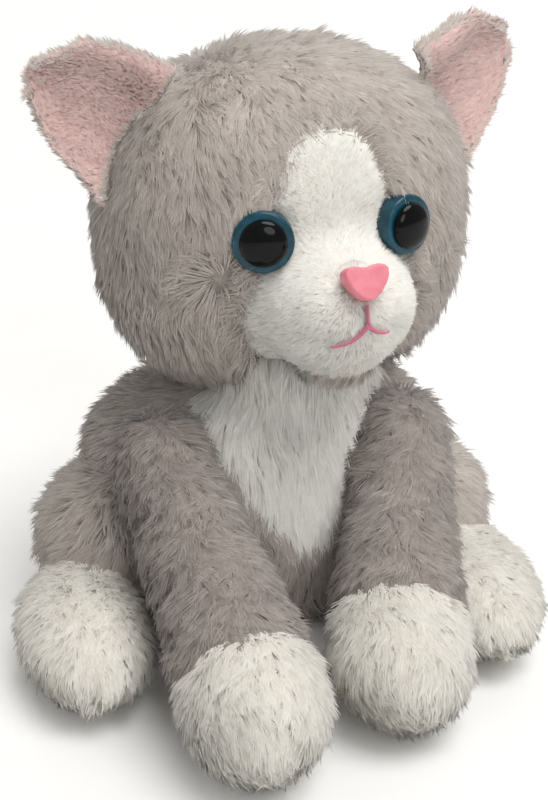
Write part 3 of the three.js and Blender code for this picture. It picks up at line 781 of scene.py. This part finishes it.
def face_flow(points):
    """Away from the middle line and the nose: up the blaze, round the cheeks and down the chin."""
    p = in_head(points)
    flow = unit(p - np.array(NOSE))
    flow[:, 0] += p[:, 0] / FACE_HALF_WIDTH * FACE_SPREAD
    return from_head(flow)


def down_flow(points):
    """Down and a little back."""
    return np.tile([0.0, 0.1, -1.0], (len(points), 1))


def bib_flow(points):
    """Down, forward and in to the bib's middle line."""
    flow = np.tile([0.0, -0.25, -1.0], (len(points), 1))
    flow[:, 0] = -(points[:, 0] - BIB_MIDDLE) * BIB_GATHER
    return flow


def toward(goal):
    """Lies along to a goal."""
    target = np.array(goal)

    def flow(points):
        return unit(target - points)

    return flow


def outward_from(centre, lean):
    """Lies away from a centre, leaning one way."""
    middle, way = np.array(centre), np.array(lean)

    def flow(points):
        return unit(points - middle) + way

    return flow


# ---- the parts

MUZZLE_LOBES = [(-11, -58, -15), (11, -58, -15), (0, -52, -30)]  # mm, from the head's centre
LOBE_SIZE = 10 * MM
LOBE_RISE = 1.8 * MM
MOUTH_DEPTH = 2.4 * MM
MOUTH_REACH = 4 * MM  # how far from the mouth the fabric is drawn in
HEAD_FULLNESS = 2.2 * MM  # how far its sides and crown stand out from the CAD form
FULL_FROM = -38 * MM  # from the head's centre: the sides and crown fill out behind this
FULL_OVER = 18 * MM
EAR_VOXEL = 1.2 * MM
EAR_SMOOTHING = 4
EAR_SEAM = 0.3 * MM
RIDGE_INSET = 8 * MM
RIDGE_WIDTH = 6.5 * MM
RIDGE_RISE = 4.5 * MM
RIDGE_FADE = 0.7  # how much of the ridge is gone at the ear's tip
BODY_FILL, HEAD_FILL, EAR_FILL = 0.7, 0.9, 0.3
GREY_AND_WHITE = [GREY_BACKING_PAINTED_SHADE, WHITE_BACKING_PAINTED_SHADE]
LIMBS = {"front": ("front_leg", "front_paw"), "hind": ("haunch", "hind_foot")}
SKINS = {}  # each sewn panel, by the name of its CAD node


def grown(node, body, slot, fill, sheer=False, **coat):
    """Puts a panel and its pile on their body. A sheer one is thin enough to let light through."""
    fabric = SKINS[node]
    fabric.visible_shadow = not sheer
    for obj in (fabric, *pile(fabric, **coat)):
        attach(obj, body)
    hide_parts(node)


def head_shaped(points, out):
    """The head's sewn-in shape.

    Its sides and crown are full, lobes stand beside the mouth and at the chin, and the mouth draws
    the fabric in.
    """
    p = in_head(points)
    behind_face = np.clip((p[:, 1] - FULL_FROM) / FULL_OVER, 0, 1)
    from_lobes = [np.linalg.norm(p - np.array(lobe) * MM, axis=1) for lobe in MUZZLE_LOBES]
    lobes = sum(fading(away, LOBE_SIZE) for away in from_lobes)
    stitch = tree_of(frame["nodes"]["mouth_stitching"])
    away = np.array([stitch.find_nearest(spot)[3] for spot in points])
    drawn = fading(away, MOUTH_REACH)
    rise = behind_face * HEAD_FULLNESS + lobes * LOBE_RISE - drawn * MOUTH_DEPTH
    return points + out * rise[:, None]


def ear_frame(sign):
    """An ear's own frame: X across it, Y behind it and Z from its base to its tip."""
    base = Vector((sign * EAR_BASE.x, EAR_BASE.y, EAR_BASE.z))
    return (
        HEAD
        @ Matrix.Translation(base)
        @ Matrix.Rotation(sign * EAR_OPEN, 4, "Z")
        @ Matrix.Rotation(sign * EAR_LEAN, 4, "Y")
    )


def ear_shaped(sign):
    """The fold along an ear's upper edge, a ridge that stands forward and fades to the tip."""

    def shape(points, _):
        place = np.array(ear_frame(sign))
        p = (points - place[:3, 3]) @ place[:3, :3]
        along = np.clip(p[:, 2] / EAR_LENGTH, 0, 0.98)
        edge = EAR_HALF_WIDTH * np.sqrt(1 - along**3)
        from_ridge = -sign * p[:, 0] - (edge - RIDGE_INSET)
        ridge = RIDGE_RISE * fading(from_ridge, RIDGE_WIDTH)
        p[:, 1] -= ridge * (1 - RIDGE_FADE * along)
        return p @ place[:3, :3].T + place[:3, 3]

    return shape


def soft_part(name, skins, filling, looks, shaped=None, seam=SEAM_DEPTH, lined=None, **form):
    """Makes a padded form and cuts it into its sewn panels."""
    made = padded_form(name, [*skins, *filling], **form)
    SKINS.update(panels(made, skins, looks, shaped, seam, lined))


soft_part("body", ["body_skin", "chest_bib"], ["body_stuffing", "neck_stuffing"], GREY_AND_WHITE)
soft_part("head", ["head_skin", "face_panel"], ["head_stuffing"], GREY_AND_WHITE, head_shaped)
for limb, skins in LIMBS.items():
    for side in SIDES:
        soft_part(
            f"{side}_{limb}",
            [f"{side}_{skin}" for skin in skins],
            [f"{side}_{limb}_leg_stuffing"],
            GREY_AND_WHITE,
        )
soft_part("tail", ["tail"], ["tail_stuffing"], [GREY_BACKING_PAINTED_SHADE])
for side, sign in SIDES.items():
    soft_part(
        f"{side}_ear",
        [f"{side}_ear_back", f"{side}_ear_lining"],
        [],
        [GREY_BACKING_PAINTED_SHADE, PINK_BACKING_PAINTED_SHADE],
        shaped=ear_shaped(sign),
        seam=EAR_SEAM,
        lined=ear_frame(sign).to_3x3() @ Vector((0, -1, 0)),
        voxel=EAR_VOXEL,
        smoothing=EAR_SMOOTHING,
    )


EYE_CLEAR = 9.0 * MM
CLEAR_OF_PILE = {"nose": 1.0 * MM, "mouth_stitching": 0.7 * MM}
BEARD_TOP = -35 * MM  # from the head's centre


def by_eyes(points):
    """Marks where the eyes sit: places before or behind one count as nearer than they are."""
    p = in_head(points)
    marked = np.zeros(len(p), bool)
    for centre in EYES:
        marked |= np.linalg.norm((p - centre) * [1, 0.4, 1], axis=1) < EYE_CLEAR
    return marked


def under_chin(points):
    """Marks the underside of the chin, where grey pile hangs over the chest."""
    return in_head(points)[:, 2] < BEARD_TOP


def over_chin(points):
    """Marks all the rest of the face."""
    return ~under_chin(points)


def off_face(points):
    """Marks where the face has no white pile: by the eyes, nose and mouth, and under the chin."""
    marked = by_eyes(points) | under_chin(points)
    for node, room in CLEAR_OF_PILE.items():
        tree = tree_of(frame["nodes"][node])
        marked |= np.array([tree.find_nearest(p)[3] < room for p in points])
    return marked


PANEL_POINTS = coordinates(SKINS["face_panel"])
TAIL_GOAL = (60 * MM, 80 * MM, 0)
# the paws and feet take the darker copy of the white pile: painted shade
PAW_COAT = {
    "shades": PAW_PILE_PAINTED_SHADE, "length": 7, "width": 0.46, "mess": 0.25, "clump": 0.1, "glow": 0.1,
}
legs = ["left_front", "right_front"]
hinds = ["left_hind", "right_hind"]

grown(
    "body_skin", "torso", "grey_plush", BODY_FILL,
    shades=GREY_PILE, flow=down_flow, seed=11, length=9, density=2.3, width=0.44, lift=0.42,
    clear_of=["head", *legs, *hinds, "tail"],
)
# the bib takes only the lighter white shades: painted light against the head's shade on it
grown(
    "chest_bib", "torso", "white_plush", BODY_FILL,
    shades=WHITE_PILE[1:], flow=bib_flow, seed=12, length=11, density=4, lift=0.25, mess=0.12,
    glow=0.35, clear_of=["head", *legs],
)
grown(
    "head_skin", "head", "grey_plush", HEAD_FILL,
    shades=GREY_PILE, flow=head_flow, seed=13, length=8, density=3, width=0.4, mess=0.28,
    clump=0.35, hang=0.5, clear_of=["body"], spare=by_eyes,
)
grown(
    "face_panel", "head", "white_plush", HEAD_FILL,
    shades=WHITE_PILE, flow=face_flow, seed=14, length=3.2, density=9, width=0.3, lift=0.7,
    mess=0.15, clump=0.0, steps=3, clear_of=["body"], spare=off_face,
)
beard = pile(
    SKINS["face_panel"], kind="beard", shades=GREY_PILE, flow=down_flow, seed=15,
    length=6.5, density=7, lift=0.5, mess=0.5, clump=0.1, glow=1.0, clear_of=["body"],
    spare=over_chin,
)
for lock in beard:
    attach(lock, "head")
for number, (side, sign) in enumerate(SIDES.items()):
    paw = PAWS[side]
    grown(
        f"{side}_front_leg", f"foreleg_{side}", "grey_plush", BODY_FILL,
        # painted shade: the legs take the darker copy of the grey pile
        shades=LEG_PILE_PAINTED_SHADE, flow=toward(paw + Vector((0, -10, -30)) * MM), seed=20 + number,
        length=8, density=3.1, mess=0.5, clump=0.4, clear_of=["body", "head"],
    )
    grown(
        f"{side}_front_paw", f"foreleg_{side}", "white_plush", BODY_FILL,
        flow=outward_from(paw, (0, -0.5, -0.5)), seed=30 + number, density=3.4, **PAW_COAT,
    )
    grown(
        f"{side}_haunch", f"hindleg_{side}", "grey_plush", BODY_FILL,
        shades=GREY_PILE, flow=down_flow, seed=40 + number, length=9, density=2.6, width=0.42,
        mess=0.35, lift=0.45, clear_of=["body", *legs],
    )
    grown(
        f"{side}_hind_foot", f"hindleg_{side}", "white_plush", BODY_FILL,
        flow=outward_from((HIP.x * sign, 0, 40 * MM), (0, -0.5, -0.4)), seed=50 + number,
        density=3.3, clear_of=["body", *legs], **PAW_COAT,
    )
    from_head_out = outward_from(HEAD_MIDDLE, (0, 0, 0))
    # the ear backs take only the lighter grey shades: painted light on their rims, which face away from
    # the lamps
    grown(
        f"{side}_ear_back", f"ear_{side}", "grey_plush", EAR_FILL, sheer=True,
        shades=GREY_PILE[2:], flow=from_head_out, seed=60 + number, length=3.4, density=5.5,
        width=0.34, lift=0.25, mess=0.2, clump=0.1, glow=2.0, clear_of=["head"],
    )
    grown(
        f"{side}_ear_lining", f"ear_{side}", "pink_velour", EAR_FILL, sheer=True,
        shades=PINK_PILE, flow=from_head_out, seed=70 + number, length=3, density=8, width=0.3,
        lift=0.45, mess=0.3, clump=0.1, steps=3, clear_of=["head"],
    )
grown(
    "tail", "tail_body", "grey_plush", BODY_FILL,
    shades=GREY_PILE, flow=toward(TAIL_GOAL), seed=80, length=8, density=2.6,
    clear_of=["body"],
)

# ---- eyes, nose and stitching


def ring_faces(rings, around, first=0):
    """The faces between rings of points, of which the first point is numbered first."""
    faces = []
    for i in range(rings - 1):
        for k in range(around):
            a, b = first + i * around + k, first + i * around + (k + 1) % around
            faces.append((a, b, b + around, a + around))
    return faces


def lathe(name, profile, frame_at, look, around=64):
    """A turned piece: its profile is radius and height in mm, and its axis is the frame's Z."""
    points = []
    for radius, height in profile:
        for k in range(around):
            angle = 2 * math.pi * k / around
            spot = Vector((radius * math.cos(angle), radius * math.sin(angle), height)) * MM
            points.append(frame_at @ spot)
    made = mesh_object(name, points, ring_faces(len(profile), around), look)
    shape = bmesh.new()
    shape.from_mesh(made.data)
    bmesh.ops.remove_doubles(shape, verts=shape.verts, dist=WELD / 10)
    shape.to_mesh(made.data)
    shape.free()
    made.data.shade_smooth()
    return made


def axis_frame(node, away_from):
    """The frame of a turned CAD node: its middle, with Z along its axis and out of the head."""
    points = coordinates(frame["nodes"][node])
    middle = points.mean(0)
    values, vectors = np.linalg.eigh(np.cov((points - middle).T))
    odd = int(np.argmax(np.abs(values - np.median(values))))
    axis = Vector(vectors[:, odd])
    if axis.dot(Vector(middle) - away_from) < 0:
        axis = -axis
    low = min(Vector(p).dot(axis) for p in points)
    base = Vector(middle) + axis * (low - Vector(middle).dot(axis))
    return Matrix.Translation(base) @ axis.to_track_quat("Z", "Y").to_matrix().to_4x4()


# the turned pieces' sizes are in mm, and heights are from the back of the pupil's dome
PUPIL_RADIUS, PUPIL_EDGE, PUPIL_RISE = 6.9, 0.3, 2.8
SHANK_RADIUS, SHANK_END = 2.4, -17.2
IRIS_RADIUS, IRIS_BACK, IRIS_BEVEL = 9.0, -6.0, 0.2
RIM_START, RIM_WIDTH, RIM_HEIGHT = -1.4, 0.8, 0.9
IRIS_FRONT = -0.4


def pupil_profile():
    """A low dome on a flat back."""
    turns = np.linspace(0.1, math.pi / 2 - 0.001, 16)
    dome = [(PUPIL_RADIUS * math.cos(t), PUPIL_EDGE + PUPIL_RISE * math.sin(t)) for t in turns]
    return [(0, 0), (PUPIL_RADIUS - PUPIL_EDGE, 0), (PUPIL_RADIUS, PUPIL_EDGE / 2), *dome]


def iris_profile():
    """A thick disc with a rounded rim, on a shank that goes through the fabric."""
    middle = IRIS_RADIUS - RIM_WIDTH
    rim = [
        (middle + RIM_WIDTH * math.cos(t), RIM_START + RIM_HEIGHT * math.sin(t))
        for t in np.linspace(0, 1.4, 8)
    ]
    return [
        (0, SHANK_END),
        (SHANK_RADIUS, SHANK_END),
        (SHANK_RADIUS, IRIS_BACK),
        (IRIS_RADIUS - IRIS_BEVEL, IRIS_BACK),
        (IRIS_RADIUS, IRIS_BACK + IRIS_BEVEL),
        (IRIS_RADIUS, RIM_START - RIM_WIDTH),
        *rim,
        (PUPIL_RADIUS + 0.7, IRIS_FRONT - 0.02),
        (PUPIL_RADIUS + 0.1, IRIS_FRONT),
        (0, IRIS_FRONT),
    ]


for side in SIDES:
    at = axis_frame(f"{side}_eye_pupil", HEAD_MIDDLE)
    pupil = lathe(f"{side}_eye_pupil_dome", pupil_profile(), at, BLACK)
    iris = lathe(f"{side}_eye_iris_disc", iris_profile(), at, TEAL)
    for made, node, slot in ((pupil, "pupil", "black_plastic"), (iris, "iris", "teal_plastic")):
        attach(made, "head")
        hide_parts(f"{side}_eye_{node}")

NOSE_VOXEL = 0.45 * MM
NOSE_SMOOTHING = 10
nose = subdivided(smoothed(remeshed(together("nose_button", ["nose"]), NOSE_VOXEL), NOSE_SMOOTHING))
nose.data.materials.append(NOSE_PINK)
nose.data.shade_smooth()
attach(nose, "head")
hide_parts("nose")

FACE_TREE = tree_of(frame["nodes"]["face_panel"])
BEFORE_FACE = -0.2  # where the ray that finds the face starts, from the head's centre


def on_face(x, z, raised):
    """The place on the face at x and z from the head's centre, raised off it."""
    start = HEAD @ Vector((x, BEFORE_FACE, z))
    way = HEAD.to_3x3() @ Vector((0, 1, 0))
    hit, normal, _, _ = FACE_TREE.ray_cast(start, way)
    return hit + normal * raised


PLIES = 3
PLY_TURNS = 5
PLY_OUT = 0.5  # how far a ply's middle is from the thread's, as a share of the thread's size
PLY_RADIUS = 0.55  # as a share of the thread's size


def twisted_thread(name, line, begins, ends, look):
    """A thread of twisted plies along a line of points, tapering from one size to another."""
    points, faces = [], []
    around = 6
    count = len(line)
    for ply in range(PLIES):
        base = len(points)
        for i, spot in enumerate(line):
            share = i / (count - 1)
            before, after = line[max(i - 1, 0)], line[min(i + 1, count - 1)]
            along = (after - before).normalized()
            side = along.cross(Vector((0, -1, 0.1))).normalized()
            up = side.cross(along)
            size = begins + (ends - begins) * share
            angle = 2 * math.pi * (PLY_TURNS * share + ply / PLIES)
            middle = spot + (side * math.cos(angle) + up * math.sin(angle)) * size * PLY_OUT
            for k in range(around):
                turn = 2 * math.pi * k / around
                out = side * math.cos(turn) + up * math.sin(turn)
                points.append(middle + out * size * PLY_RADIUS)
        faces += ring_faces(count, around, base)
        faces.append(tuple(base + k for k in reversed(range(around))))
        faces.append(tuple(base + (count - 1) * around + k for k in range(around)))
    return mesh_object(name, points, faces, look)


MOUTH_STROKES = [  # x and height in mm from where the mouth forks
    [(0, (MOUTH_TOP - MOUTH_FORK) / MM), (0, 0)],
    [(0, 0), (3, -2.4), (7, -3.2)],
    [(0, 0), (-4, -4), (-10, -6.4)],
]
STROKE_POINTS = 40
THREAD_RAISED = 0.2 * MM
STEM_SIZE = 0.55 * MM
LIP_SIZE, LIP_END_SIZE = 0.8 * MM, 0.4 * MM


def stroke_line(stroke):
    """A smooth line on the face through a stroke's points."""
    spots = np.array(stroke, float) * MM + [0, MOUTH_FORK]
    shares = np.linspace(0, 1, len(spots))
    fine = np.linspace(0, 1, STROKE_POINTS)
    degree = len(spots) - 1
    x, z = (np.polyval(np.polyfit(shares, spots[:, k], degree), fine) for k in (0, 1))
    return [on_face(a, b, THREAD_RAISED) for a, b in zip(x, z, strict=True)]


for i, stroke in enumerate(MOUTH_STROKES):
    begins, ends = (STEM_SIZE, STEM_SIZE) if i == 0 else (LIP_SIZE, LIP_END_SIZE)
    thread = twisted_thread(f"mouth_thread_{i}", stroke_line(stroke), begins, ends, PINK_THREAD)
    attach(thread, "head")
    if i == 0:
        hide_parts("mouth_stitching")

# ---- what is inside, and the label

STUFFING_INSET = 1.4 * MM  # from the CAD form, so that the skin always covers it
STUFFING_VOXEL = 2.4 * MM
STUFFING_SMOOTHING = 4
LUMP_RISE = 0.8 * MM
LUMP_LENGTH = 12 * MM
LUMP_SEED = 90


def stuffing(node, body, look):
    """Loose filling in the shape of a CAD node, drawn in a little and lumpy."""
    form = smoothed(remeshed(together(f"{node}_lumps", [node]), STUFFING_VOXEL), STUFFING_SMOOTHING)
    points = coordinates(form)
    inward = STUFFING_INSET - LUMP_RISE * waves(points, LUMP_LENGTH, LUMP_SEED)
    set_coordinates(form, points - normals(form) * inward[:, None])
    form.data.materials.append(look)
    form.data.shade_smooth()
    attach(form, body)
    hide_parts(node)


filled = {"body": "torso", "neck": "neck_core", "head": "head", "tail": "tail_body"}
for side in SIDES:
    filled[f"{side}_front_leg"] = f"foreleg_{side}"
    filled[f"{side}_hind_leg"] = f"hindleg_{side}"
for part, body in filled.items():
    stuffing(f"{part}_stuffing", body, FILLING)
stuffing("pellet_bag", "torso", BAG_CLOTH)

for node, look in {
    "neck_seam_thread": GREY_THREAD,
    "left_eye_washer": WASHER,
    "right_eye_washer": WASHER,
    "nose_washer": WASHER,
}.items():
    data = frame["nodes"][node].data
    data.materials.clear()
    data.materials.append(look)

LABEL_SEWN_IN = 4 * MM  # more than the CAD label: the end that is caught in the seam
LABEL_LENGTH = 18 * MM + LABEL_SEWN_IN
LABEL_MIDDLE = Vector((-26, 63.5, 22)) * MM - Vector((0, LABEL_SEWN_IN / 2, 0))
LABEL_HEIGHT = 14 * MM
LABEL_THICKNESS = 0.5 * MM
LABEL_CURL, LABEL_BEND = 1.6 * MM, 4
LABEL_RIPPLE, LABEL_WAVE = 0.4 * MM, 5


def label():
    """The blank satin label: a thin closed strip, sewn in along one short side and curling free."""
    columns, rows = 24, 12
    points, faces = [], []
    for face in (-0.5, 0.5):
        for j in range(rows + 1):
            for i in range(columns + 1):
                along, height = i / columns, j / rows - 0.5
                curl = LABEL_CURL * math.sin(LABEL_BEND * along) * along
                curl += LABEL_RIPPLE * math.sin(LABEL_WAVE * height) * along
                points.append(LABEL_MIDDLE + Vector((
                    curl + face * LABEL_THICKNESS,
                    (along - 0.5) * LABEL_LENGTH,
                    height * LABEL_HEIGHT,
                )))
    row = columns + 1
    back = row * (rows + 1)
    for j in range(rows):
        for i in range(columns):
            a = j * row + i
            faces.append((a, a + row, a + row + 1, a + 1))
            faces.append((back + a, back + a + 1, back + a + row + 1, back + a + row))
        for a, b in ((j * row, j * row + row), (j * row + row + columns, j * row + columns)):
            faces.append((a, back + a, back + b, b))
    for i in range(columns):
        for a, b in ((i + 1, i), (rows * row + i, rows * row + i + 1)):
            faces.append((a, back + a, back + b, b))
    made = mesh_object("sewn_in_label_satin", points, faces, SATIN)
    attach(made, "torso")
    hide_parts("sewn_in_label")


label()

# ---- floor, light and camera

CAMERA_AZIMUTH, CAMERA_HEIGHT = -13.5, 22  # degrees
CAMERA_DISTANCE = 533.3 * MM
CAMERA_TARGET = Vector((7.9, -5.3, 70.9)) * MM
SENSOR = 36
FOCAL_SHARE = 2.07875  # focal length as a share of the sensor's long side
SHIFT = (-0.017375, -0.02125)  # how far the picture's middle is from the target, as such a share

FLOOR_REACH = 3.0
FLOOR_DROP = 0.1 * MM  # so that nothing lies in the floor's own plane
COVE_START = 0.5  # behind the kitten
COVE_RADIUS = 0.6
WALL_HEIGHT = 3.6


def aimed(obj, azimuth, height, distance):
    """Puts a camera or a light at a distance from the target, facing it. Angles are in degrees."""
    azimuth, height = math.radians(azimuth), math.radians(height)
    way = Vector((
        math.sin(azimuth) * math.cos(height),
        -math.cos(azimuth) * math.cos(height),
        math.sin(height),
    ))
    obj.location = CAMERA_TARGET + way * distance
    obj.rotation_mode = "QUATERNION"
    obj.rotation_quaternion = way.to_track_quat("Z", "Y")
    return link(obj)


def pale_floor():
    """Matt paper, a little uneven in its white."""
    made, tree, shader = material("pale_floor")
    grain = textured(tree, 8, Detail=3)
    two_toned(tree, shader, grain, "f3f2f0", "f8f7f5", margin=0.3)
    surface(shader, roughness=0.8)
    return made


def floor():
    """A floor that curves up into a wall behind the kitten."""
    cove = [
        (COVE_START + COVE_RADIUS * math.sin(t), COVE_RADIUS - COVE_RADIUS * math.cos(t))
        for t in np.linspace(0.1, math.pi / 2, 12)
    ]
    wall_top = (COVE_START + COVE_RADIUS, WALL_HEIGHT)
    profile = [(-FLOOR_REACH, 0), (COVE_START, 0), *cove, wall_top]
    points = [(x, y, z - FLOOR_DROP) for y, z in profile for x in (-FLOOR_REACH, FLOOR_REACH)]
    faces = [(2 * i, 2 * i + 1, 2 * i + 3, 2 * i + 2) for i in range(len(profile) - 1)]
    made = mesh_object("floor", points, faces, pale_floor())


def softbox(name, azimuth, height, distance, size, power):
    """A round soft light."""
    light = bpy.data.lights.new(name, "AREA")
    light.shape = "DISK"
    light.size = size
    light.energy = power
    aimed(bpy.data.objects.new(name, light), azimuth, height, distance)


def camera():
    data = bpy.data.cameras.new("camera")
    data.sensor_width = SENSOR
    data.lens = SENSOR * FOCAL_SHARE
    data.shift_x, data.shift_y = SHIFT
    data.clip_start = 0.01
    data.clip_end = 20
    made = bpy.data.objects.new("camera", data)
    bpy.context.scene.camera = aimed(made, CAMERA_AZIMUTH, CAMERA_HEIGHT, CAMERA_DISTANCE)


def world():
    """Even white light from all round."""
    made = bpy.data.worlds.new("studio")
    made.use_nodes = True
    background = made.node_tree.nodes["Background"]
    background.inputs["Color"].default_value = colour("ffffff")
    background.inputs["Strength"].default_value = 0.4
    bpy.context.scene.world = made


floor()
softbox("key", azimuth=60, height=72, distance=2.2, size=1.6, power=35)
softbox("fill", azimuth=10, height=30, distance=2.0, size=1.0, power=7)
camera()
world()
bpy.context.scene.view_settings.view_transform = "Standard"
